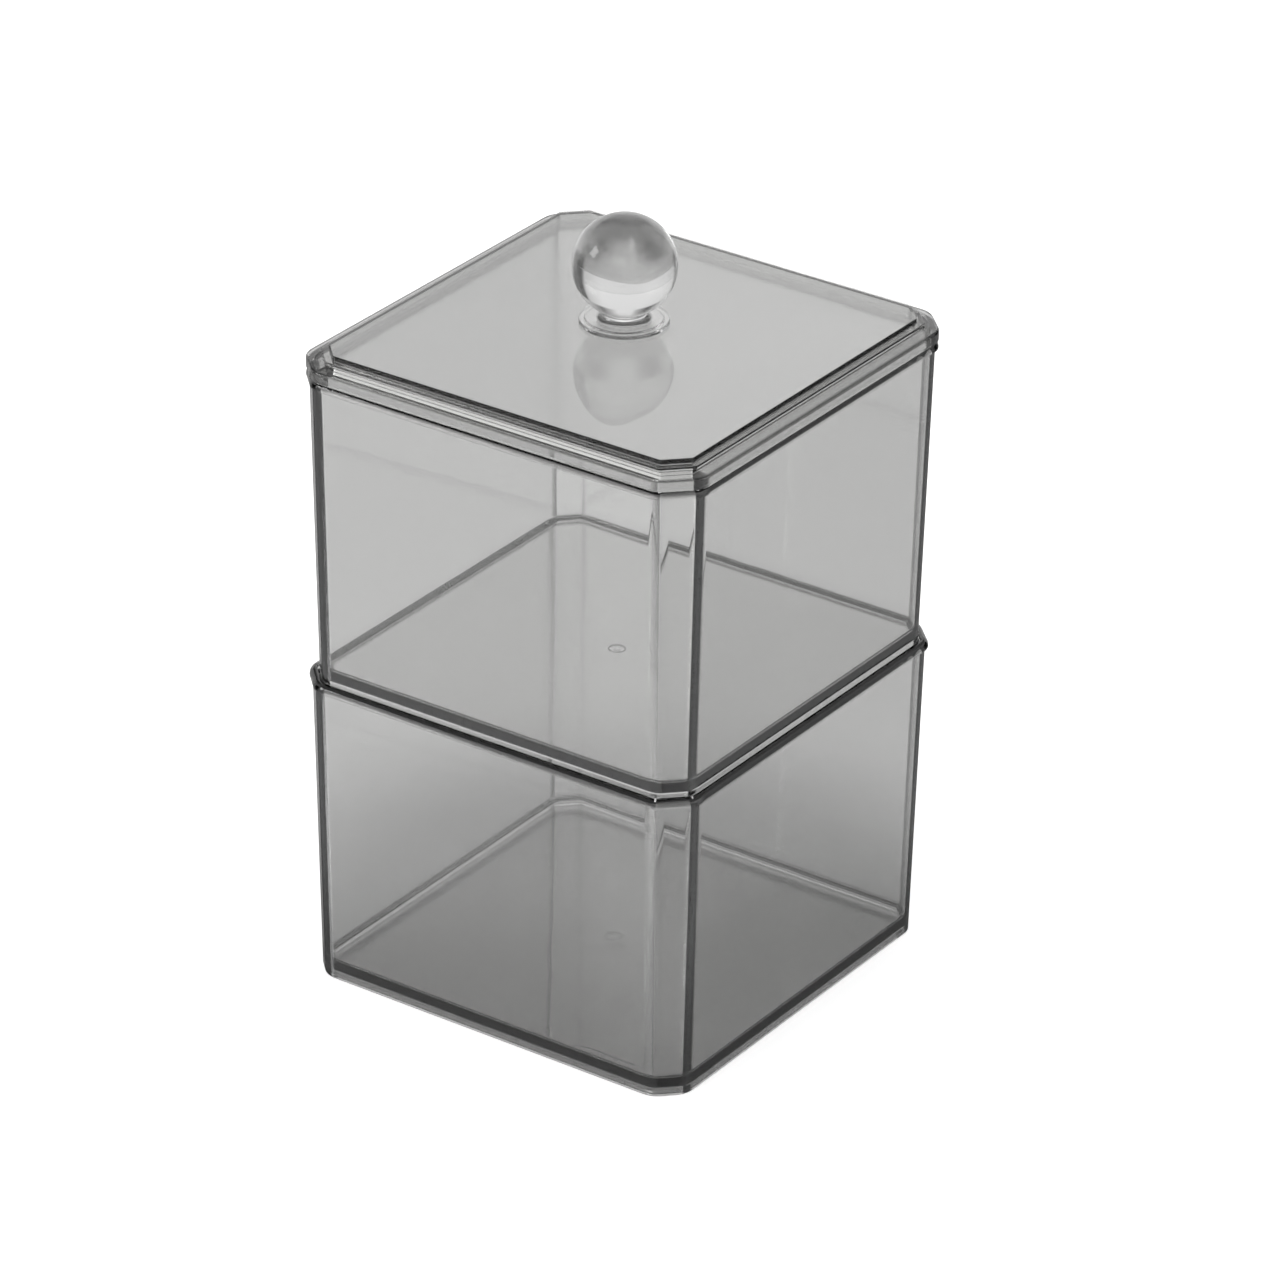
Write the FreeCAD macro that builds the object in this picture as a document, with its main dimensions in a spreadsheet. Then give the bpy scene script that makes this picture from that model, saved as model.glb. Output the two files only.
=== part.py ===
"""Stacking cotton swab holder: two nesting octagonal boxes, a crowned lid and a ball knob.

Everything is moulded in clear smoke-grey polystyrene. Millimetres, +Z up, origin at the middle of
the lower box's foot. The two boxes come out of one mould. Each box has a rim whose recess takes
the foot of the box above, or the plug under the lid, so nothing is hinged or fastened. The knob's
peg is bonded in a hole at the top of the lid's crown.
"""
import FreeCAD, Part
import os
from math import sqrt

import Sketcher
from FreeCAD import Vector

DRIVING_SIZES = {
    # The rim and the octagonal box under it
    "rim_width": 93.0,
    "rim_corner": 6.4,
    "rim_height": 1.6,
    "rim_corner_round": 5.0,
    "rim_edge_round": 1.3,
    "rim_overhang": 0.7,
    "box_rise": 66.2,
    "base_corner": 5.0,
    "wall_flare": 1.35,
    "wall_thickness": 2.4,
    "corner_round": 5.0,
    "inner_corner_round": 0.3,
    "base_edge_round": 0.25,
    # The floor, its raised underside and the mark that the moulding gate leaves on it
    "foot_recess": 1.3,
    "foot_wall": 2.1,
    "floor_thickness": 1.7,
    "floor_round": 1.2,
    "gate_width": 3.4,
    "gate_depth": 0.5,
    "gate_pip_width": 1.3,
    # How one tier sits in the next
    "nest_depth": 1.1,
    "nest_clearance": 0.3,
    # The lid, from its flange up to its crown
    "flange_height": 2.4,
    "flange_edge_round": 0.55,
    "slope_rise": 0.5,
    "slope_width": 2.8,
    "ledge_corner": 5.0,
    "ledge_height": 0.8,
    "ledge_step": 1.4,
    "plateau_corner": 4.35,
    "plateau_height": 1.0,
    "crown_rise": 2.0,
    "plate_thickness": 2.0,
    "plug_clearance": 0.15,
    "opening_margin": 0.3,
    "opening_corner": 4.2,
    # The knob
    "ball_width": 20.5,
    "knob_height": 22.0,
    "neck_width": 8.6,
    "foot_disc_width": 17.6,
    "foot_disc_height": 0.8,
    "foot_disc_round": 0.3,
    "foot_step_width": 15.4,
    "foot_step_height": 0.35,
    "neck_flare": 1.3,
    "seat_depth": 0.1,
    "seat_clearance": 0.15,
    "peg_width": 4.0,
    "peg_clearance": 0.05,
}

MITRE = 2 - sqrt(2)  # how much a cut corner's leg grows when all eight sides move out by 1
CROWN_SPANS = 12  # pieces that the lid's crown surface is split into along each side

doc = FreeCAD.newDocument("cotton_swab_holder")
sizes = doc.addObject("Spreadsheet::Sheet", "sizes")
for row, (alias, value) in enumerate(DRIVING_SIZES.items(), start=1):
    sizes.set(f"A{row}", alias)
    sizes.set(f"B{row}", str(value))
    sizes.setAlias(f"B{row}", alias)
doc.recompute()

# Heights and half widths that several pieces share, as formulas of the sheet's values
RIM_UNDERSIDE = "(sizes.box_rise - sizes.rim_height)"
SHELF = "(sizes.box_rise - sizes.nest_depth)"
FLOOR_TOP = "(sizes.foot_recess + sizes.floor_thickness)"
RIM_HALF = "(sizes.rim_width / 2)"
BASE_HALF = f"({RIM_HALF} - sizes.rim_overhang - sizes.wall_flare)"
LEDGE_HALF = f"({RIM_HALF} - sizes.slope_width)"
PLATEAU_HALF = f"({LEDGE_HALF} - sizes.ledge_step)"
LEDGE_BOTTOM = "(sizes.flange_height + sizes.slope_rise)"
LEDGE_TOP = f"({LEDGE_BOTTOM} + sizes.ledge_height)"
PLATEAU_EDGE = f"({LEDGE_TOP} + sizes.plateau_height)"
CROWN_TOP = f"({PLATEAU_EDGE} + sizes.crown_rise)"
PLUG_DEPTH = "(sizes.nest_depth - sizes.plug_clearance)"


def size(alias):
    """The value of one driving size, in millimetres."""
    return float(sizes.get(alias))


def moved_out(half, corner, by):
    """Half width and corner leg of an octagon once all eight of its sides move out by `by`."""
    return f"({half} + {by})", f"({corner} + ({by}) * {MITRE})"


def wall_at(height, inset="0"):
    """The box wall's octagon at a height: it flares from the foot to the rim's underside."""
    flare = f"sizes.wall_flare * {height} / {RIM_UNDERSIDE} - {inset}"
    return moved_out(BASE_HALF, "sizes.base_corner", flare)


def xy_plane(body):
    """The body's own horizontal origin plane."""
    return next(plane for plane in body.Origin.OriginFeatures if plane.Role == "XY_Plane")


def octagon(body, name, outline, height):
    """A square with four cut corners, drawn flat at a height in the body."""
    half, corner = outline
    sketch = body.newObject("Sketcher::SketchObject", name)
    sketch.AttachmentSupport = (xy_plane(body), [""])
    sketch.MapMode = "FlatFace"
    sketch.setExpression(".AttachmentOffset.Base.z", height)
    far, near = size("rim_width") / 2, size("rim_width") / 2 - size("rim_corner")
    points = [(-near, -far), (near, -far), (far, -near), (far, near),
              (near, far), (-near, far), (-far, near), (-far, -near)]
    corners = [Vector(x, y, 0) for x, y in points]
    for side in range(8):
        sketch.addGeometry(Part.LineSegment(corners[side], corners[(side + 1) % 8]), False)
    for side in range(8):
        sketch.addConstraint(Sketcher.Constraint("Coincident", side, 2, (side + 1) % 8, 1))
    for side in (0, 4):
        sketch.addConstraint(Sketcher.Constraint("Symmetric", side, 1, side, 2, -2))
    for side in (2, 6):
        sketch.addConstraint(Sketcher.Constraint("Symmetric", side, 1, side, 2, -1))
    origin = (-1, 1)
    distances = [
        ("DistanceX", origin, (0, 2), "near"), ("DistanceY", (0, 2), origin, "far"),
        ("DistanceX", origin, (2, 2), "far"), ("DistanceY", origin, (2, 2), "near"),
        ("DistanceX", origin, (4, 1), "near"), ("DistanceY", origin, (4, 1), "far"),
        ("DistanceX", (6, 1), origin, "far"), ("DistanceY", origin, (6, 1), "near"),
    ]
    lengths = {"far": (far, half), "near": (near, f"{half} - {corner}")}
    for kind, start, end, which in distances:
        value, formula = lengths[which]
        number = sketch.addConstraint(Sketcher.Constraint(kind, *start, *end, value))
        sketch.setExpression(f"Constraints[{number}]", formula)
    return sketch


def circle(body, name, width, height):
    """A circle about the body's axis, drawn flat at a height."""
    sketch = body.newObject("Sketcher::SketchObject", name)
    sketch.AttachmentSupport = (xy_plane(body), [""])
    sketch.MapMode = "FlatFace"
    sketch.setExpression(".AttachmentOffset.Base.z", height)
    radius = size("ball_width") / 2
    sketch.addGeometry(Part.Circle(Vector(0, 0, 0), Vector(0, 0, 1), radius), False)
    sketch.addConstraint(Sketcher.Constraint("Coincident", 0, 3, -1, 1))
    number = sketch.addConstraint(Sketcher.Constraint("Diameter", 0, 2 * radius))
    sketch.setExpression(f"Constraints[{number}]", width)
    return sketch


def raise_up(body, name, sketch, length):
    """Material added upwards from a sketch."""
    pad = body.newObject("PartDesign::Pad", name)
    pad.Profile = sketch
    pad.setExpression("Length", length)
    doc.recompute()
    return pad


def cut(body, name, sketch, depth, upwards=False):
    """Material removed below a sketch, or above it, which must make the body smaller."""
    before = body.Shape.Volume
    pocket = body.newObject("PartDesign::Pocket", name)
    pocket.Profile = sketch
    pocket.Reversed = upwards
    pocket.setExpression("Length", depth)
    doc.recompute()
    if body.Shape.Volume >= before:
        raise ValueError(f"{name} in {body.Label} cuts nothing")
    return pocket


def lean_out(body, name, feature, height, outwards, chosen):
    """The wall's lean, given to upright faces about the level face at a height."""
    faces = list(enumerate(feature.Shape.Faces, start=1))
    level = [f"Face{n}" for n, face in faces if abs(face.BoundBox.ZMin - height) < 0.01
             and face.BoundBox.ZLength < 0.01]
    draft = body.newObject("PartDesign::Draft", name)
    draft.Base = (feature, [f"Face{n}" for n, face in faces if chosen(face)])
    draft.NeutralPlane = (feature, level[:1])
    draft.setExpression("Angle", f"atan(sizes.wall_flare / {RIM_UNDERSIDE})")
    draft.Reversed = outwards
    doc.recompute()
    return draft


def loft(body, name, lower, upper):
    """A straight-sided solid between two octagons."""
    feature = body.newObject("PartDesign::AdditiveLoft", name)
    feature.Profile = lower
    feature.Sections = [upper]
    feature.Ruled = True
    doc.recompute()
    return feature


def round_edges(body, name, feature, radius, chosen):
    """A fillet along every edge of the last feature that `chosen` accepts."""
    names = [f"Edge{n}" for n, edge in enumerate(feature.Shape.Edges, start=1) if chosen(edge)]
    if not names:
        raise ValueError(f"{name} in {body.Label} finds no edge")
    fillet = body.newObject("PartDesign::Fillet", name)
    fillet.Base = (feature, names)
    fillet.setExpression("Radius", radius)
    doc.recompute()
    return fillet


def ends(edge):
    """The lower and the upper end of an edge."""
    points = sorted((vertex.Point for vertex in edge.Vertexes), key=lambda point: point.z)
    return points[0], points[-1]


def reach(point):
    """How far a point is from the axis, measured square to the nearest flat side."""
    return max(abs(point.x), abs(point.y))


def upright(edge, above, below):
    """True for a corner edge that climbs between two heights."""
    low, high = ends(edge)
    return high.z - low.z > 0.5 * (below - above) and low.z > above - 0.01 and high.z < below + 0.01


def level_at(edge, height, outside):
    """True for a level edge at a height, at least `outside` from the axis."""
    low, high = ends(edge)
    flat = abs(low.z - height) < 0.01 and abs(high.z - height) < 0.01
    middle = edge.valueAt((edge.FirstParameter + edge.LastParameter) / 2)
    across = (abs(middle.x) + abs(middle.y)) / sqrt(2)
    return flat and abs(middle.z - height) < 0.01 and max(reach(middle), across) > outside


def stands_between(face, low, high):
    """True for an upright face that runs from one height to another."""
    box = face.BoundBox
    return abs(box.ZMin - low) < 0.01 and abs(box.ZMax - high) < 0.01


def storage_box(name, base_height):
    """One tier: a drafted octagonal box with a raised floor, a foot and a nesting rim."""
    body = doc.addObject("PartDesign::Body", name)
    body.Label = name
    rise = size("box_rise")
    rim_bottom = rise - size("rim_height")
    floor_height = size("foot_recess") + size("floor_thickness")

    foot_outline = octagon(body, f"{name}_foot_outline", wall_at("0"), "0")
    block = raise_up(body, f"{name}_block", foot_outline, RIM_UNDERSIDE)
    walls = lean_out(body, f"{name}_walls", block, 0, True,
                     lambda face: stands_between(face, 0, rim_bottom))
    rounded = round_edges(body, f"{name}_wall_corners", walls, "sizes.corner_round",
                          lambda edge: upright(edge, 0, rim_bottom))
    round_edges(body, f"{name}_foot_edge", rounded, "sizes.base_edge_round",
                lambda edge: level_at(edge, 0, 0))

    rim_outline = octagon(body, f"{name}_rim_outline", (RIM_HALF, "sizes.rim_corner"), RIM_UNDERSIDE)
    rim = raise_up(body, f"{name}_rim", rim_outline, "sizes.rim_height")
    rounded = round_edges(body, f"{name}_rim_corners", rim, "sizes.rim_corner_round",
                          lambda edge: upright(edge, rim_bottom, rise))
    round_edges(body, f"{name}_rim_edge", rounded, "sizes.rim_edge_round",
                lambda edge: level_at(edge, rise, 0))

    mouth_outline = octagon(body, f"{name}_mouth_outline", wall_at(FLOOR_TOP, "sizes.wall_thickness"),
                            "sizes.box_rise")
    hollow = cut(body, f"{name}_hollow", mouth_outline, f"sizes.box_rise - {FLOOR_TOP}")
    inside = lean_out(body, f"{name}_inside", hollow, floor_height, False,
                      lambda face: stands_between(face, floor_height, rise))
    rounded = round_edges(body, f"{name}_inner_corners", inside, "sizes.inner_corner_round",
                          lambda edge: upright(edge, floor_height, rise))
    round_edges(body, f"{name}_floor_edge", rounded, "sizes.floor_round",
                lambda edge: level_at(edge, floor_height, 0))

    nest = moved_out(BASE_HALF, "sizes.base_corner", "sizes.nest_clearance")
    nest_outline = octagon(body, f"{name}_nest_outline", nest, "sizes.box_rise")
    cut(body, f"{name}_nest", nest_outline, "sizes.nest_depth")

    foot = moved_out(BASE_HALF, "sizes.base_corner", "-sizes.foot_wall")
    recess_outline = octagon(body, f"{name}_recess_outline", foot, "0")
    cut(body, f"{name}_foot_recess", recess_outline, "sizes.foot_recess", upwards=True)

    gate_outline = circle(body, f"{name}_gate_outline", "sizes.gate_width", "sizes.foot_recess")
    cut(body, f"{name}_gate_well", gate_outline, "sizes.gate_depth", upwards=True)
    pip_outline = circle(body, f"{name}_pip_outline", "sizes.gate_pip_width", "sizes.foot_recess")
    raise_up(body, f"{name}_gate_pip", pip_outline, "sizes.gate_depth")

    body.setExpression(".Placement.Base.z", base_height)
    return body


def lid_frame():
    """The lid without its top: plug, flange, sloping shoulder, ledge and the plateau's side."""
    body = doc.addObject("PartDesign::Body", "lid_frame")
    body.Label = "lid_frame"
    flange = (RIM_HALF, "sizes.rim_corner")
    ledge = (LEDGE_HALF, "sizes.ledge_corner")
    plateau = (PLATEAU_HALF, "sizes.plateau_corner")

    flange_pad = raise_up(body, "flange", octagon(body, "flange_outline", flange, "0"), "sizes.flange_height")
    rounded = round_edges(body, "flange_corners", flange_pad, "sizes.rim_corner_round",
                          lambda edge: upright(edge, 0, size("flange_height")))
    round_edges(body, "flange_edge", rounded, "sizes.flange_edge_round", lambda edge: level_at(edge, 0, 0))

    slope_bottom = octagon(body, "slope_bottom_outline", moved_out(*flange, "-sizes.flange_edge_round"),
                           "sizes.flange_height")
    slope_top = octagon(body, "slope_top_outline", ledge, LEDGE_BOTTOM)
    loft(body, "slope", slope_bottom, slope_top)
    raise_up(body, "ledge", octagon(body, "ledge_outline", ledge, LEDGE_BOTTOM), "sizes.ledge_height")
    raise_up(body, "plateau_side", octagon(body, "plateau_outline", plateau, LEDGE_TOP),
             "sizes.plateau_height / 2")

    plug_outline = octagon(body, "plug_outline", (BASE_HALF, "sizes.base_corner"), f"-{PLUG_DEPTH}")
    raise_up(body, "plug", plug_outline, PLUG_DEPTH)
    opening = (f"{PLATEAU_HALF} - sizes.opening_margin", "sizes.opening_corner")
    opening_outline = octagon(body, "opening_outline", opening, PLATEAU_EDGE)
    cut(body, "opening", opening_outline, f"{PLATEAU_EDGE} + {PLUG_DEPTH}")
    return body


def crown_patch(half, edge_height, rise):
    """The lid's pillow: straight level edges all round, and one smooth rise in the middle."""
    bezier = Part.BezierSurface()
    bezier.increase(2, 2)
    for row, y in enumerate((-half, 0, half), start=1):
        for column, x in enumerate((-half, 0, half), start=1):
            lift = 4 * rise if row == column == 2 else 0
            bezier.setPole(row, column, Vector(x, y, edge_height + lift))
    patch = bezier.toBSpline()
    spans = [share / CROWN_SPANS for share in range(1, CROWN_SPANS)]
    patch.insertUKnots(spans, [1] * len(spans), 0.0)
    patch.insertVKnots(spans, [1] * len(spans), 0.0)
    return patch.toShape()


def crowned_plate():
    """The lid's top plate, of even thickness, crowned and cut to the plateau's octagon."""
    half = size("rim_width") / 2 - size("slope_width") - size("ledge_step")
    corner = size("plateau_corner")
    top = (size("flange_height") + size("slope_rise") + size("ledge_height") + size("plateau_height"))
    bottom = top - size("plate_thickness")
    corners = [(-half, -half), (half, -half), (half, half), (-half, half)]
    faces = [crown_patch(half, bottom, size("crown_rise")), crown_patch(half, top, size("crown_rise"))]
    for (x1, y1), (x2, y2) in zip(corners, corners[1:] + corners[:1]):
        side = [Vector(x1, y1, bottom), Vector(x2, y2, bottom), Vector(x2, y2, top), Vector(x1, y1, top)]
        faces.append(Part.Face(Part.makePolygon(side + side[:1])))
    shell = Part.makeShell(faces)
    shell.sewShape()
    pillow = Part.makeSolid(shell)
    near = half - corner
    outline = [(-near, -half), (near, -half), (half, -near), (half, near),
               (near, half), (-near, half), (-half, near), (-half, -near)]
    ring = [Vector(x, y, 0) for x, y in outline]
    prism = Part.Face(Part.makePolygon(ring + ring[:1])).extrude(Vector(0, 0, top + size("knob_height")))
    plate = doc.addObject("Part::Feature", "crowned_plate")
    plate.Label = "crowned_plate"
    plate.Shape = pillow.common(prism).Solids[0]
    return plate


def lid(rest_height):
    """The lid in one piece, with the flat seat and the hole that the knob is bonded to."""
    blank = doc.addObject("Part::Fuse", "lid_blank")
    blank.Base = lid_frame()
    blank.Tool = crowned_plate()
    blank.Refine = True
    seat = doc.addObject("Part::Cylinder", "knob_seat")
    seat.setExpression("Radius", "sizes.foot_disc_width / 2 + sizes.seat_clearance")
    seat.setExpression("Height", "sizes.knob_height")
    seat.setExpression(".Placement.Base.z", f"{CROWN_TOP} - sizes.seat_depth")
    seated = doc.addObject("Part::Cut", "seated_lid")
    seated.Base = blank
    seated.Tool = seat
    hole = doc.addObject("Part::Cylinder", "peg_hole")
    hole.setExpression("Radius", "sizes.peg_width / 2 + sizes.peg_clearance")
    hole.setExpression("Height", f"{CROWN_TOP} + sizes.knob_height")
    drilled = doc.addObject("Part::Cut", "lid")
    drilled.Base = seated
    drilled.Tool = hole
    drilled.Label = "lid"
    drilled.setExpression(".Placement.Base.z", rest_height)
    return drilled


def ball_knob(seat_height):
    """A ball on a short neck that flares into a stepped disc, with a peg below it."""
    body = doc.addObject("PartDesign::Body", "ball_knob")
    body.Label = "ball_knob"
    disc_top = "sizes.foot_disc_height"
    step_top = f"({disc_top} + sizes.foot_step_height)"
    centre = "(sizes.seat_depth + sizes.knob_height - sizes.ball_width / 2)"
    peg_depth = "(sizes.plate_thickness - sizes.seat_depth)"

    disc = raise_up(body, "foot_disc", circle(body, "foot_disc_outline", "sizes.foot_disc_width", "0"), disc_top)
    round_edges(body, "foot_disc_edge", disc, "sizes.foot_disc_round",
                lambda edge: level_at(edge, size("foot_disc_height"), 0))
    raise_up(body, "foot_step", circle(body, "foot_step_outline", "sizes.foot_step_width", disc_top),
             "sizes.foot_step_height")
    neck = raise_up(body, "neck", circle(body, "neck_outline", "sizes.neck_width", step_top),
                    f"{centre} - {step_top}")
    root = size("foot_disc_height") + size("foot_step_height")
    round_edges(body, "neck_flare", neck, "sizes.neck_flare",
                lambda edge: level_at(edge, root, 0) and edge.BoundBox.XLength < size("neck_width") + 0.1)
    peg_outline = circle(body, "peg_outline", "sizes.peg_width", f"-{peg_depth}")
    raise_up(body, "peg", peg_outline, peg_depth)

    ball = body.newObject("PartDesign::AdditiveSphere", "ball")
    ball.AttachmentSupport = (xy_plane(body), [""])
    ball.MapMode = "FlatFace"
    ball.setExpression("Radius", "sizes.ball_width / 2")
    ball.setExpression(".AttachmentOffset.Base.z", centre)
    doc.recompute()
    body.setExpression(".Placement.Base.z", seat_height)
    return body


LID_REST = f"({SHELF} + sizes.box_rise)"
parts = [
    storage_box("lower_box", "0"),
    storage_box("upper_box", SHELF),
    lid(LID_REST),
    ball_knob(f"{LID_REST} + {CROWN_TOP} - sizes.seat_depth"),
]
doc.recompute()

for thing in doc.Objects:
    if "Invalid" in thing.State or "Error" in thing.State:
        raise ValueError(f"{thing.Label} failed: {thing.State}")
for piece in parts:
    if piece.Shape.isNull() or not piece.Shape.isValid() or len(piece.Shape.Solids) != 1:
        raise ValueError(f"{piece.Label} isn't one valid solid")

os.makedirs("parts", exist_ok=True)
for piece in parts:
    piece.Shape.exportStep(f"parts/{piece.Label}.step")
    box = piece.Shape.BoundBox
    print(f"{piece.Label}: volume {piece.Shape.Volume:.1f} mm3, {box.XLength:.2f} x {box.YLength:.2f} mm, "
          f"z {box.ZMin:.2f} to {box.ZMax:.2f}, {len(piece.Shape.Faces)} faces")
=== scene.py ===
from math import atan2, cos, pi, radians, sin, sqrt, tan

import bpy
from mathutils import Matrix, Vector


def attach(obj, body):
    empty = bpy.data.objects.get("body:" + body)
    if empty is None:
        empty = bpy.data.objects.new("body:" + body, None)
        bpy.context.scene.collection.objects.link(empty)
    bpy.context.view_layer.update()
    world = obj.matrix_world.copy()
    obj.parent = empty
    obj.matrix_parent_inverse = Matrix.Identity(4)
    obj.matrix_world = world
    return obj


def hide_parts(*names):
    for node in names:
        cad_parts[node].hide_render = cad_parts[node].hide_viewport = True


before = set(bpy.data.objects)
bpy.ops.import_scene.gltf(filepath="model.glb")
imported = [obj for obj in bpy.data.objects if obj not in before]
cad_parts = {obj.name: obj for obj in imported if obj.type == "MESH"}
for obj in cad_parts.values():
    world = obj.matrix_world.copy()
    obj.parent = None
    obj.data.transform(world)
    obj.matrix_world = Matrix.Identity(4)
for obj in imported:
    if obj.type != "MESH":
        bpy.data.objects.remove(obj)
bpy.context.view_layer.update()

# THE TWO STORAGE BOXES. Both tiers come out of one mould: an octagonal tub in clear smoke-grey
# polystyrene with a raised floor, leaning walls, and a rim whose recess takes the foot of the
# tier above. Nothing fastens them, the upper box simply stands in the lower one.
MM = 0.001
FROM_LEG = 2 - sqrt(2)  # how much a cut corner's leg grows as all eight sides move out by one
CORNER_STEPS = 8
EDGE_STEPS = 5

RIM_HALF, RIM_LEG, RIM_BEND, RIM_HEIGHT = 46.5, 6.4, 5.0, 1.6
BASE_HALF, BASE_LEG, WALL_BEND = 44.45, 5.0, 5.0
WALL_FLARE, WALL_THICKNESS, INNER_BEND = 1.35, 2.4, 0.3
BOX_RISE, NEST_DEPTH, NEST_CLEARANCE = 66.2, 1.1, 0.3
FOOT_RECESS, FOOT_WALL, FLOOR_TOP, FLOOR_ROUND = 1.3, 2.1, 3.0, 1.2
GATE_RADIUS, GATE_DEPTH, PIP_RADIUS = 1.7, 0.5, 0.65
RIM_TOP_ROUND, RIM_UNDER_ROUND, SHOULDER_ROUND, NEST_ROUND = 1.3, 0.15, 0.1, 0.12
FOOT_ROUND, FOOT_INNER_ROUND, FOOT_RECESS_ROUND, GATE_TOP_ROUND, GATE_ROUND = 0.25, 0.15, 0.3, 0.15, 0.1
FOOT_BEND, NEST_BEND, SHARPEST_BEND = 0.5, 0.6, 0.05
FLOOR_MARGIN, SAME_HEIGHT = 4.0, 0.01
AIR = 0.03  # daylight that two dry plastic faces keep between them


def add_node(tree, kind, settings=None, links=None):
    """One node, its values by attribute or by input name, and the outputs that feed its inputs."""
    node = tree.nodes.new(kind)
    for name, value in (settings or {}).items():
        if isinstance(name, int) or name in node.inputs:
            node.inputs[name].default_value = value
        else:
            setattr(node, name, value)
    for name, output in (links or {}).items():
        tree.links.new(output, node.inputs[name])
    return node


def hex_colour(code):
    """An sRGB hex colour as Blender's linear RGBA."""
    channels = [int(code[place:place + 2], 16) / 255 for place in (1, 3, 5)]
    return [c / 12.92 if c <= 0.04045 else ((c + 0.055) / 1.055) ** 2.4 for c in channels] + [1.0]


def section_point(half, leg, bend, height, edge=0.0):
    """A corner of a moulding's section, with the octagon that it sweeps and its own edge radius."""
    return {"half": half, "leg": leg, "bend": bend, "height": height, "edge": edge}


def turned(direction):
    """The outward normal of a section that is drawn with its plastic on the left."""
    return Vector((direction.y, -direction.x))


def softened(section):
    """The section with each corner rounded to its edge radius, and the normals either side."""
    spots = [Vector((point["half"], point["height"])) for point in section]
    rounded = []
    for number, point in enumerate(section):
        before = (spots[number] - spots[max(number - 1, 0)]).normalized()
        after = (spots[min(number + 1, len(spots) - 1)] - spots[number]).normalized()
        before = before if number > 0 else after
        after = after if number < len(spots) - 1 else before
        first, last = turned(before), turned(after)
        if point["edge"] == 0:
            rounded.append((point, spots[number], first, last))
            continue
        turn = before.angle(after)
        back = point["edge"] * tan(turn / 2)
        start = spots[number] - before * back
        side = 1 if before.x * after.y - before.y * after.x > 0 else -1
        centre = start - first * point["edge"] * side
        for step in range(EDGE_STEPS + 1):
            share = step / EDGE_STEPS
            normal = Matrix.Rotation(side * turn * share, 2) @ first
            spot = centre + normal * point["edge"] * side
            rounded.append((point, spot, normal, normal))
    return rounded


def octagon_ring(half, leg, bend, height):
    """A square with four cut corners, every corner softened, as points and outward directions."""
    near = half - leg
    corners = [(near, -half), (half, -near), (half, near), (near, half),
               (-near, half), (-half, near), (-half, -near), (-near, -half)]
    ring = []
    for number, (x, y) in enumerate(corners):
        facing = radians(-90 + 45 * number)
        middle = facing + radians(22.5)
        reach = bend / cos(radians(22.5))
        for step in range(CORNER_STEPS + 1):
            angle = facing + radians(45) * step / CORNER_STEPS
            ring.append((Vector((x - reach * cos(middle) + bend * cos(angle),
                                 y - reach * sin(middle) + bend * sin(angle), height)),
                         Vector((cos(angle), sin(angle)))))
    return ring


def round_ring(radius, height):
    """A circle with as many points as an octagon ring has."""
    count = 8 * (CORNER_STEPS + 1)
    angles = [radians(-90) + 2 * pi * (number + 0.5) / count for number in range(count)]
    return [(Vector((radius * cos(a), radius * sin(a), height)), Vector((cos(a), sin(a)))) for a in angles]


class Moulding:
    """A closed skin that grows ring by ring, with the exact normal at every face corner."""

    def __init__(self):
        self.points, self.faces, self.normals = [], [], []

    def ring(self, spots):
        """New points, as their numbers."""
        start = len(self.points)
        self.points.extend(spots)
        return list(range(start, len(self.points)))

    def band(self, lower, upper, lower_normals, upper_normals):
        """A band of faces between two rings."""
        count = len(lower)
        for this in range(count):
            following = (this + 1) % count
            self.faces.append([lower[this], lower[following], upper[following], upper[this]])
            self.normals.extend([lower_normals[this], lower_normals[following],
                                 upper_normals[following], upper_normals[this]])

    def cap(self, ring, normal):
        """One flat face that closes a ring, upwards or downwards."""
        self.faces.append(ring if normal.z > 0 else ring[::-1])
        self.normals.extend([normal] * len(ring))

    def sweep(self, section):
        """Rings for every point of a section, joined to each other, from the first to the last."""
        previous = None
        for point, spot, arriving, leaving in softened(section):
            half, height = spot
            moved = half - point["half"]
            if point["leg"] is None:
                ring = round_ring(half, height)
            else:
                grown = moved if point["bend"] > INNER_BEND else 0
                bend = max(point["bend"] + grown, SHARPEST_BEND)
                ring = octagon_ring(half, point["leg"] + moved * FROM_LEG, bend, height)
            indices = self.ring([place for place, _ in ring])
            facing = [[Vector((out.x * n.x, out.y * n.x, n.y)).normalized() for _, out in ring]
                      for n in (arriving, leaving)]
            if previous:
                self.band(previous[0], indices, previous[1], facing[0])
            else:
                first = indices
            previous = (indices, facing[1])
        return first, indices

    def finish(self, name, is_matt=lambda place: False):
        """The object, with a mark on the points of the faces that the mould leaves matt."""
        mesh = bpy.data.meshes.new(name)
        mesh.from_pydata([place * MM for place in self.points], [], self.faces)
        mesh.polygons.foreach_set("use_smooth", [True] * len(self.faces))
        mesh.normals_split_custom_set(self.normals)
        matt = mesh.attributes.new("matt", "FLOAT", "POINT")
        matt.data.foreach_set("value", [float(is_matt(place)) for place in self.points])
        mesh.update()
        piece = bpy.data.objects.new(name, mesh)
        bpy.context.scene.collection.objects.link(piece)
        return piece


def wall_octagon(height, inset=0.0):
    """Half width and cut-corner leg of the leaning wall at a height above the foot."""
    out = WALL_FLARE * height / (BOX_RISE - RIM_HEIGHT) - inset
    return BASE_HALF + out, BASE_LEG + out * FROM_LEG


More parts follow.
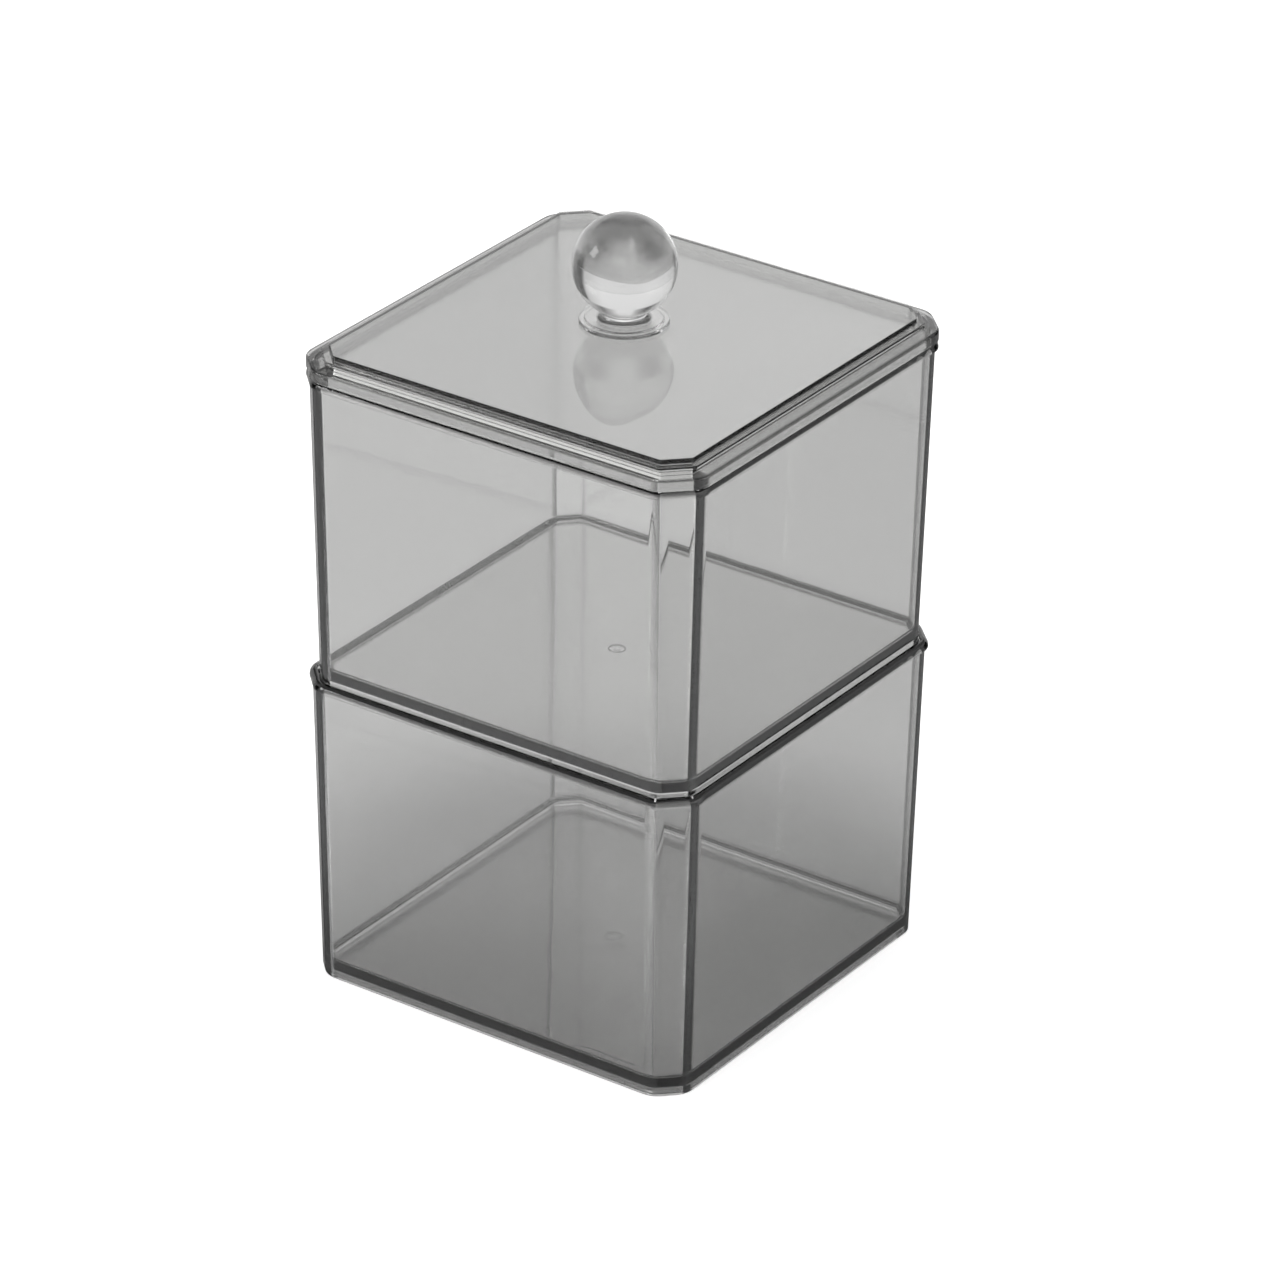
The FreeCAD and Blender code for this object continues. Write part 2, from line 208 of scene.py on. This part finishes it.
def storage_box(name, rest):
    """The section of a box from the gate mark under its floor, out and up to the rim, and back in."""
    shoulder, shelf = BOX_RISE - RIM_HEIGHT, BOX_RISE - NEST_DEPTH
    foot_half, foot_leg = BASE_HALF - FOOT_WALL, BASE_LEG - FOOT_WALL * FROM_LEG
    nest_half, nest_leg = BASE_HALF + NEST_CLEARANCE, BASE_LEG + NEST_CLEARANCE * FROM_LEG
    floor_half, floor_leg = wall_octagon(FLOOR_TOP, WALL_THICKNESS)
    section = [
        section_point(PIP_RADIUS, None, 0, rest + FOOT_RECESS),
        section_point(PIP_RADIUS, None, 0, rest + FOOT_RECESS + GATE_DEPTH),
        section_point(GATE_RADIUS, None, 0, rest + FOOT_RECESS + GATE_DEPTH, GATE_TOP_ROUND),
        section_point(GATE_RADIUS, None, 0, rest + FOOT_RECESS, GATE_ROUND),
        section_point(foot_half, foot_leg, FOOT_BEND, rest + FOOT_RECESS, FOOT_RECESS_ROUND),
        section_point(foot_half, foot_leg, FOOT_BEND, rest + AIR, FOOT_INNER_ROUND),
        section_point(BASE_HALF, BASE_LEG, WALL_BEND, rest + AIR, FOOT_ROUND),
        section_point(*wall_octagon(shoulder), WALL_BEND, rest + shoulder, SHOULDER_ROUND),
        section_point(RIM_HALF, RIM_LEG, RIM_BEND, rest + shoulder, RIM_UNDER_ROUND),
        section_point(RIM_HALF, RIM_LEG, RIM_BEND, rest + BOX_RISE, RIM_TOP_ROUND),
        section_point(nest_half, nest_leg, NEST_BEND, rest + BOX_RISE, NEST_ROUND),
        section_point(nest_half, nest_leg, NEST_BEND, rest + shelf, NEST_ROUND),
        section_point(*wall_octagon(shelf, WALL_THICKNESS), INNER_BEND, rest + shelf, NEST_ROUND),
        section_point(floor_half, floor_leg, INNER_BEND, rest + FLOOR_TOP, FLOOR_ROUND),
        section_point(floor_half - FLOOR_MARGIN, floor_leg - FLOOR_MARGIN * FROM_LEG, INNER_BEND,
                      rest + FLOOR_TOP),
    ]
    box = Moulding()
    first, last = box.sweep(section)
    box.cap(first, Vector((0, 0, -1)))
    box.cap(last, Vector((0, 0, 1)))
    return box.finish(name, lambda spot: abs(spot.z - rest - FOOT_RECESS) < SAME_HEIGHT)


# Clear polystyrene is glassy and a little warm in its smoke tint. The tint is in the plastic
# itself, so a wall looks pale and an edge, seen along the wall, goes nearly black. The cavity side
# of the mould is polished and the flow of the melt leaves it faintly wavy, while the faces that the
# ejectors push on are finely eroded, which blurs what is seen through them. The true grain is far
# finer than the 0.8 mm patches drawn here, which only vary how strong the blur is.
WHITE = hex_colour("#FFFFFF")
FLOW_WAVE, FLOW_HEIGHT = 18.0, 0.03
MATT_GRAIN, MATT_LOW, MATT_HIGH, NOISE_LOW, NOISE_HIGH = 0.8, 0.12, 0.20, 0.3, 0.7
SMOKE_TINT, SMOKE_STRENGTH, POLYSTYRENE_BENDING = "#BABAB8", 196.0, 1.59


def clear_plastic(name, tint, strength, refraction):
    """Tinted clear plastic: a glassy skin round a body that absorbs, and the sockets to finish it."""
    material = bpy.data.materials.new(name)
    material.use_nodes = True
    tree = material.node_tree
    tree.nodes.clear()
    glass = add_node(tree, "ShaderNodeBsdfPrincipled", {
        "Base Color": WHITE, "Roughness": 0.0, "IOR": refraction, "Transmission Weight": 1.0})
    smoke = add_node(tree, "ShaderNodeVolumeAbsorption", {"Color": hex_colour(tint), "Density": strength})
    add_node(tree, "ShaderNodeOutputMaterial", {}, {"Surface": glass.outputs[0], "Volume": smoke.outputs[0]})
    place = add_node(tree, "ShaderNodeTexCoord").outputs["Object"]
    return material, tree, glass, place


smoke_polystyrene, tree, glass, place = clear_plastic(
    "smoke_polystyrene_moulded", SMOKE_TINT, SMOKE_STRENGTH, POLYSTYRENE_BENDING)
flow = add_node(tree, "ShaderNodeTexNoise", {"Scale": 1 / (FLOW_WAVE * MM), "Detail": 1.0}, {"Vector": place})
wavy = add_node(tree, "ShaderNodeBump", {"Distance": FLOW_HEIGHT * MM}, {"Height": flow.outputs[0]})
grain = add_node(tree, "ShaderNodeTexNoise", {"Scale": 1 / (MATT_GRAIN * MM), "Detail": 2.0},
                 {"Vector": place})
eroded = add_node(tree, "ShaderNodeMapRange", {"From Min": NOISE_LOW, "From Max": NOISE_HIGH,
                                               "To Min": MATT_LOW, "To Max": MATT_HIGH},
                  {"Value": grain.outputs[0]})
matt_faces = add_node(tree, "ShaderNodeAttribute", {"attribute_name": "matt"})
finish = add_node(tree, "ShaderNodeMath", {"operation": "MULTIPLY"}, {0: matt_faces.outputs["Fac"],
                                                                     1: eroded.outputs[0]})
tree.links.new(wavy.outputs[0], glass.inputs["Normal"])
tree.links.new(finish.outputs[0], glass.inputs["Roughness"])

lower_box = storage_box("lower_box_moulding", 0.0)
upper_box = storage_box("upper_box_moulding", BOX_RISE - NEST_DEPTH)
for box, node, body in ((lower_box, "lower_box", "lower_tier"), (upper_box, "upper_box", "upper_tier")):
    box.data.materials.append(smoke_polystyrene)
    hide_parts(node)
    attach(box, body)

# THE LID. One moulding in the same plastic: a flange that rests on the rim, a plug that drops
# inside it, a sloping shoulder, a ledge, and a top plate crowned like a shallow pillow.
LID_REST = 2 * BOX_RISE - NEST_DEPTH
PLUG_DEPTH, FLANGE_HEIGHT, SLOPE_RISE = 0.95, 2.4, 0.5
FLANGE_ROUND, FLANGE_UNDER_ROUND, PLUG_ROUND, PLUG_TOP_ROUND, STEP_ROUND = 0.55, 0.3, 0.2, 0.1, 0.15
LEDGE_BEND, PLATEAU_BEND = 0.8, 0.5
LEDGE_HALF, LEDGE_LEG, LEDGE_HEIGHT = 43.7, 5.0, 0.8
PLATEAU_HALF, PLATEAU_LEG, PLATEAU_HEIGHT = 42.3, 4.35, 1.0
OPENING_HALF, OPENING_LEG = 42.0, 4.2
CROWN_RISE, PLATE_THICKNESS, CROWN_RINGS = 2.0, 2.0, 18
SEAT_RADIUS, SEAT_DEPTH = 8.95, 0.1
PLATEAU_EDGE = LID_REST + FLANGE_HEIGHT + SLOPE_RISE + LEDGE_HEIGHT + PLATEAU_HEIGHT


def crown(x, y, edge_height):
    """Height and upward normal of the pillow: level along its four edges, highest in the middle."""
    across, along = 1 - (x / PLATEAU_HALF) ** 2, 1 - (y / PLATEAU_HALF) ** 2
    slope_x = -2 * x / PLATEAU_HALF**2 * CROWN_RISE * along
    slope_y = -2 * y / PLATEAU_HALF**2 * CROWN_RISE * across
    return edge_height + CROWN_RISE * across * along, Vector((-slope_x, -slope_y, 1)).normalized()


def crowned_skin(lid, edge_ring, outline, edge_height, centre_radius, facing):
    """Rings from the plate's edge in to a flat round spot in its middle, above or below."""
    middle = round_ring(centre_radius, 0)
    previous = edge_ring
    normals = [crown(spot.x, spot.y, 0)[1] * facing for spot in outline]
    for number in range(1, CROWN_RINGS + 1):
        share = number / CROWN_RINGS
        spots = [edge.lerp(spot, share) for edge, (spot, _) in zip(outline, middle)]
        crowned = [crown(spot.x, spot.y, edge_height) for spot in spots]
        ring = lid.ring([Vector((spot.x, spot.y, height)) for spot, (height, _) in zip(spots, crowned)])
        ring_normals = [normal * facing for _, normal in crowned]
        if facing > 0:
            lid.band(previous, ring, normals, ring_normals)
        else:
            lid.band(ring, previous, ring_normals, normals)
        previous, normals = ring, ring_normals
    lid.cap(previous, Vector((0, 0, facing)))


lid = Moulding()
lid_first, lid_last = lid.sweep([
    section_point(OPENING_HALF, OPENING_LEG, PLATEAU_BEND, PLATEAU_EDGE - PLATE_THICKNESS),
    section_point(OPENING_HALF, OPENING_LEG, PLATEAU_BEND, LID_REST - PLUG_DEPTH, STEP_ROUND),
    section_point(BASE_HALF, BASE_LEG, WALL_BEND, LID_REST - PLUG_DEPTH, PLUG_ROUND),
    section_point(BASE_HALF, BASE_LEG, WALL_BEND, LID_REST + AIR, PLUG_TOP_ROUND),
    section_point(RIM_HALF, RIM_LEG, RIM_BEND, LID_REST + AIR, FLANGE_UNDER_ROUND),
    section_point(RIM_HALF, RIM_LEG, RIM_BEND, LID_REST + FLANGE_HEIGHT, FLANGE_ROUND),
    section_point(LEDGE_HALF, LEDGE_LEG, LEDGE_BEND, LID_REST + FLANGE_HEIGHT + SLOPE_RISE, STEP_ROUND),
    section_point(LEDGE_HALF, LEDGE_LEG, LEDGE_BEND, PLATEAU_EDGE - PLATEAU_HEIGHT, STEP_ROUND),
    section_point(PLATEAU_HALF, PLATEAU_LEG, PLATEAU_BEND, PLATEAU_EDGE - PLATEAU_HEIGHT, STEP_ROUND),
    section_point(PLATEAU_HALF, PLATEAU_LEG, PLATEAU_BEND, PLATEAU_EDGE),
])
under = [lid.points[number] for number in lid_first]
over = [lid.points[number] for number in lid_last]
crowned_skin(lid, lid_first, under, PLATEAU_EDGE - PLATE_THICKNESS, SEAT_RADIUS, -1)
crowned_skin(lid, lid_last, over, PLATEAU_EDGE, SEAT_RADIUS, 1)


def under_crown(spot):
    """Whether a point lies on the hidden side of the top plate."""
    return abs(spot.z - crown(spot.x, spot.y, PLATEAU_EDGE - PLATE_THICKNESS)[0]) < SAME_HEIGHT


lid_moulding = lid.finish("lid_moulding", under_crown)
lid_moulding.data.materials.append(smoke_polystyrene)
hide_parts("lid")
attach(lid_moulding, "cover")

# THE KNOB. A solid ball in much clearer plastic than the boxes, on a short neck that flares into a
# thin stepped disc. It is turned and polished, and bonded to the middle of the lid's crown.
BALL_RADIUS, KNOB_HEIGHT, NECK_RADIUS = 10.25, 22.0, 4.3
DISC_RADIUS, DISC_HEIGHT, STEP_RADIUS, STEP_HEIGHT, NECK_FLARE = 8.8, 0.8, 7.7, 0.35, 1.3
SEAT_EDGE, DISC_EDGE, STEP_CORNER, STEP_EDGE = 0.15, 0.3, 0.1, 0.15
TURN_STEPS, BALL_RINGS, START_RADIUS = 128, 64, 0.5
SEAT = PLATEAU_EDGE + CROWN_RISE - SEAT_DEPTH + AIR


def turned_knob(name):
    """Half the knob's outline, spun about its axis."""
    centre = PLATEAU_EDGE + CROWN_RISE + KNOB_HEIGHT - BALL_RADIUS
    step_top = SEAT + DISC_HEIGHT + STEP_HEIGHT
    outline = [section_point(START_RADIUS, None, 0, SEAT),
               section_point(DISC_RADIUS, None, 0, SEAT, SEAT_EDGE),
               section_point(DISC_RADIUS, None, 0, SEAT + DISC_HEIGHT, DISC_EDGE),
               section_point(STEP_RADIUS, None, 0, SEAT + DISC_HEIGHT, STEP_CORNER),
               section_point(STEP_RADIUS, None, 0, step_top, STEP_EDGE),
               section_point(NECK_RADIUS, None, 0, step_top, NECK_FLARE),
               section_point(NECK_RADIUS, None, 0, centre - sqrt(BALL_RADIUS**2 - NECK_RADIUS**2))]
    spots = [(spot, arriving, leaving) for _, spot, arriving, leaving in softened(outline)]
    start = atan2(spots[-1][0].y - centre, NECK_RADIUS)
    spots[-1] = (spots[-1][0], spots[-1][1], Vector((cos(start), sin(start))))
    for step in range(1, BALL_RINGS):
        angle = start + (pi / 2 - start) * step / BALL_RINGS
        normal = Vector((cos(angle), sin(angle)))
        spots.append((Vector((0, centre)) + normal * BALL_RADIUS, normal, normal))
    angles = [2 * pi * number / TURN_STEPS for number in range(TURN_STEPS)]
    around = [Vector((cos(angle), sin(angle))) for angle in angles]
    knob = Moulding()
    previous = None
    for spot, arriving, leaving in spots:
        ring = knob.ring([Vector((out.x * spot.x, out.y * spot.x, spot.y)) for out in around])
        facing = [[Vector((out.x * n.x, out.y * n.x, n.y)).normalized() for out in around]
                  for n in (arriving, leaving)]
        if previous:
            knob.band(previous[0], ring, previous[1], facing[0])
        else:
            knob.cap(ring, Vector((0, 0, -1)))
        previous = (ring, facing[1])
    knob.cap(previous[0], Vector((0, 0, 1)))
    return knob.finish(name)


# Turned acrylic is clearer and more even than the mouldings. The polishing wheel leaves faint rings
# round the axis, drawn a little wider than the real ones so that they still show as soft streaks.
RING_PITCH, RING_HEIGHT, RING_SQUEEZE = 1.4, 0.0012, 0.12
KNOB_TINT, KNOB_STRENGTH, ACRYLIC_BENDING = "#BABAB9", 30.0, 1.49
clear_knob_plastic, tree, glass, place = clear_plastic(
    "clear_acrylic_turned", KNOB_TINT, KNOB_STRENGTH, ACRYLIC_BENDING)
squeezed = add_node(tree, "ShaderNodeMapping", {"Scale": (RING_SQUEEZE, RING_SQUEEZE, 1.0)},
                    {"Vector": place})
rings = add_node(tree, "ShaderNodeTexNoise", {"Scale": 1 / (RING_PITCH * MM), "Detail": 1.0},
                 {"Vector": squeezed.outputs[0]})
polished = add_node(tree, "ShaderNodeBump", {"Distance": RING_HEIGHT * MM}, {"Height": rings.outputs[0]})
tree.links.new(polished.outputs[0], glass.inputs["Normal"])
knob_turning = turned_knob("ball_knob_turning")
knob_turning.data.materials.append(clear_knob_plastic)
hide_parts("ball_knob")
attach(knob_turning, "cover")

# THE SURFACE IT STANDS ON. A glossy white table. The camera sees it plain white with the holder's
# soft shadow, and the clear plastic sees the white panel mirrored in it. It mirrors more at a glancing
# angle, as gloss does. Close to the holder its mirror is painted darker, a painted shade under and
# round the holder, which brings the lower tier down to its real tone.
FLOOR_REACH = 6.0
TABLE_WHITE, FLOOR_LIFT, TABLE_POLISH, TABLE_ROUGHNESS = 0.85, 0.45, 0.96, 0.15
GLANCE_FROM, GLANCE_TO = 0.6, 0.92
TABLE_MIRROR, GRAZING_MIRROR, PAINTED_SHADE_MIRROR = 0.77, 0.9, 0.50
# Painted shade: within the first reach of the holder the table's mirror is darkened to the lower share, and
# it fades back to full by the second reach.
PAINTED_SHADE_REACH, PAINTED_SHADE_FADE_END = 0.055, 0.110
floor_mesh = bpy.data.meshes.new("white_floor")
floor_mesh.from_pydata([(-FLOOR_REACH, -FLOOR_REACH, 0), (FLOOR_REACH, -FLOOR_REACH, 0),
                        (FLOOR_REACH, FLOOR_REACH, 0), (-FLOOR_REACH, FLOOR_REACH, 0)], [], [(0, 1, 2, 3)])
white_floor = bpy.data.objects.new("white_floor", floor_mesh)
bpy.context.scene.collection.objects.link(white_floor)
white_table = bpy.data.materials.new("white_table_gloss")
white_table.use_nodes = True
tree = white_table.node_tree
tree.nodes.clear()
ray = add_node(tree, "ShaderNodeLightPath")
plain = add_node(tree, "ShaderNodeBsdfDiffuse", {"Color": (TABLE_WHITE, TABLE_WHITE, TABLE_WHITE, 1.0)})
lift = add_node(tree, "ShaderNodeEmission", {"Color": WHITE, "Strength": FLOOR_LIFT})
in_view = add_node(tree, "ShaderNodeAddShader", {}, {0: plain.outputs[0], 1: lift.outputs[0]})
glance = add_node(tree, "ShaderNodeLayerWeight", {"Blend": 0.5})
gloss = add_node(tree, "ShaderNodeMapRange", {"From Min": GLANCE_FROM, "From Max": GLANCE_TO,
                                              "To Min": TABLE_MIRROR, "To Max": GRAZING_MIRROR},
                 {"Value": glance.outputs["Facing"]})
where = add_node(tree, "ShaderNodeTexCoord")
away = add_node(tree, "ShaderNodeVectorMath", {"operation": "LENGTH"}, {0: where.outputs["Object"]})
# Painted shade: the mirror that the plastic sees is darkened close to the holder, where its shadow falls on
# the table.
painted_shade = add_node(tree, "ShaderNodeMapRange", {"interpolation_type": "SMOOTHSTEP", "From Min": PAINTED_SHADE_REACH,
                                              "From Max": PAINTED_SHADE_FADE_END, "To Min": PAINTED_SHADE_MIRROR, "To Max": 1.0},
                 {"Value": away.outputs["Value"]})
both = add_node(tree, "ShaderNodeMath", {"operation": "MULTIPLY"}, {0: gloss.outputs[0], 1: painted_shade.outputs[0]})
mirror = add_node(tree, "ShaderNodeBsdfGlossy", {"Roughness": TABLE_ROUGHNESS}, {"Color": both.outputs[0]})
polish = add_node(tree, "ShaderNodeMixShader", {0: TABLE_POLISH}, {1: plain.outputs[0], 2: mirror.outputs[0]})
shown = add_node(tree, "ShaderNodeMixShader", {}, {0: ray.outputs["Is Camera Ray"], 1: polish.outputs[0],
                                                   2: in_view.outputs[0]})
add_node(tree, "ShaderNodeOutputMaterial", {}, {"Surface": shown.outputs[0]})
white_floor.data.materials.append(white_table)

# THE LIGHT. A narrow white panel stands behind the holder, with dark gaps beside it and a bright room
# at the camera's back, as clear plastic is lit so that its edges show. Two rings hold the levels, each
# at its degrees from straight behind, left ones negative, and the lower ring is what the ball gathers.
VIEW_TURN = radians(35.45)
ACROSS_VIEW, ALONG_VIEW = (cos(VIEW_TURN), sin(VIEW_TURN), 0.0), (-sin(VIEW_TURN), cos(VIEW_TURN), 0.0)
PANEL_LIGHT, ROOM_LIGHT = 1.04, 0.5
AROUND = [(-180, 2.0), (-110, 1.9), (-70, 1.0), (-50, 0.75), (-36, 0.3), (-25, 0.08), (-14, 0.5),
          (-7, PANEL_LIGHT), (7, PANEL_LIGHT), (14, 0.7), (25, 0.22), (36, 0.45), (50, 0.7), (70, 0.85),
          (110, 1.9), (180, 2.0)]
LOW_AROUND = [(-180, 1.5), (-100, 1.2), (-86, 0.9), (-79, 0.03), (-63, 0.03), (-55, 0.7), (-20, 1.0),
              (20, 1.0), (38, 0.7), (44, 0.03), (66, 0.03), (76, 0.7), (110, 1.5), (180, 1.5)]
LOW_TOP, PANEL_TOP = (0.33, 0.41), (0.58, 0.7)  # sines of the heights between which each ring fades
studio = bpy.data.worlds.new("studio")
bpy.context.scene.world = studio
studio.use_nodes = True
tree = studio.node_tree
tree.nodes.clear()
looking = add_node(tree, "ShaderNodeTexCoord")
behind = add_node(tree, "ShaderNodeVectorMath", {"operation": "DOT_PRODUCT", 1: ALONG_VIEW},
                  {0: looking.outputs["Generated"]})
beside = add_node(tree, "ShaderNodeVectorMath", {"operation": "DOT_PRODUCT", 1: ACROSS_VIEW},
                  {0: looking.outputs["Generated"]})
height = add_node(tree, "ShaderNodeSeparateXYZ", {}, {0: looking.outputs["Generated"]})
aside = add_node(tree, "ShaderNodeMath", {"operation": "ARCTAN2"}, {0: beside.outputs["Value"],
                                                                   1: behind.outputs["Value"]})
place = add_node(tree, "ShaderNodeMapRange", {"From Min": -pi, "From Max": pi}, {"Value": aside.outputs[0]})
rings = []
for levels in (AROUND, LOW_AROUND):
    ring = add_node(tree, "ShaderNodeValToRGB", {}, {0: place.outputs[0]})
    for number, (angle, level) in enumerate(levels):
        at = 0.5 + angle / 360
        stop = ring.color_ramp.elements[0] if number == 0 else ring.color_ramp.elements.new(at)
        stop.position = at
        stop.color = (level, level, level, 1.0)
    rings.append(ring.outputs[0])
fades = []
for bottom, top in (LOW_TOP, PANEL_TOP):
    fade = add_node(tree, "ShaderNodeMapRange", {"interpolation_type": "SMOOTHSTEP", "From Min": bottom,
                                                 "From Max": top, "To Min": 1.0, "To Max": 0.0},
                    {"Value": height.outputs["Z"]})
    fades.append(fade.outputs[0])
wall = add_node(tree, "ShaderNodeMix", {"data_type": "FLOAT"}, {0: fades[0], 2: rings[0], 3: rings[1]})
room = add_node(tree, "ShaderNodeMix", {"data_type": "FLOAT", 2: ROOM_LIGHT},
                {0: fades[1], 3: wall.outputs[0]})
ray = add_node(tree, "ShaderNodeLightPath")
sky = add_node(tree, "ShaderNodeMix", {"data_type": "FLOAT", 3: 1.0}, {0: ray.outputs["Is Camera Ray"],
                                                                      2: room.outputs[0]})
sweep = add_node(tree, "ShaderNodeBackground", {"Color": WHITE}, {"Strength": sky.outputs[0]})
add_node(tree, "ShaderNodeOutputWorld", {}, {"Surface": sweep.outputs[0]})

HOLDER_MIDDLE = Vector((0, 0, 0.07))
FILL_PLACE, FILL_ACROSS, FILL_POWER = Vector((0, 0, 1.4)), 1.2, 8.0
KEY_PLACE, KEY_ACROSS, KEY_POWER = Vector((-0.72, -0.60, 0.60)), 0.3, 1.4


def softbox(name, place, across, power, mirrored):
    """A square soft lamp that faces the holder, and shows in polished plastic only if it is mirrored."""
    lamp = bpy.data.lights.new(name, "AREA")
    lamp.size = across
    lamp.energy = power
    box = bpy.data.objects.new(name, lamp)
    box.location = place
    box.rotation_euler = (HOLDER_MIDDLE - box.location).to_track_quat("-Z", "Y").to_euler()
    box.visible_camera = False
    box.visible_glossy = box.visible_transmission = mirrored
    bpy.context.scene.collection.objects.link(box)


softbox("overhead_fill", FILL_PLACE, FILL_ACROSS, FILL_POWER, False)
softbox("left_key", KEY_PLACE, KEY_ACROSS, KEY_POWER, True)

# THE CAMERA. A long lens, well back and above, with one corner of the holder towards it. It is
# rolled by less than half a degree.
FRAME_PIXELS, FOCAL_PIXELS, SHIFT_PIXELS = 1280, 6943.9, 80
CAMERA_PLACE = Vector((691.2, -991.3, 700.3)) * MM
CAMERA_TURN, CAMERA_TILT, CAMERA_ROLL = VIEW_TURN, radians(27.59), radians(0.40)
level_part = cos(CAMERA_TILT)
towards = Vector((sin(CAMERA_TURN) * level_part, -cos(CAMERA_TURN) * level_part, sin(CAMERA_TILT)))
sideways = Vector((cos(CAMERA_TURN), sin(CAMERA_TURN), 0))
upward = towards.cross(sideways)
right = sideways * cos(CAMERA_ROLL) + upward * sin(CAMERA_ROLL)
above = upward * cos(CAMERA_ROLL) - sideways * sin(CAMERA_ROLL)
view = bpy.data.cameras.new("product_view")
view.sensor_width = 36.0
view.lens = FOCAL_PIXELS / FRAME_PIXELS * view.sensor_width
view.shift_x = SHIFT_PIXELS / FRAME_PIXELS
view.clip_start, view.clip_end = 0.1, 50.0
camera = bpy.data.objects.new("product_view", view)
camera.matrix_world = Matrix.Translation(CAMERA_PLACE) @ Matrix((right, above, towards)).transposed().to_4x4()
bpy.context.scene.collection.objects.link(camera)
bpy.context.scene.camera = camera
bpy.context.scene.view_settings.view_transform = "Standard"

# Light passes through as many as twelve faces of the stack and turns many times inside an edge.
paths = bpy.context.scene.cycles
paths.max_bounces = 32
paths.transmission_bounces = 32
paths.glossy_bounces = 16
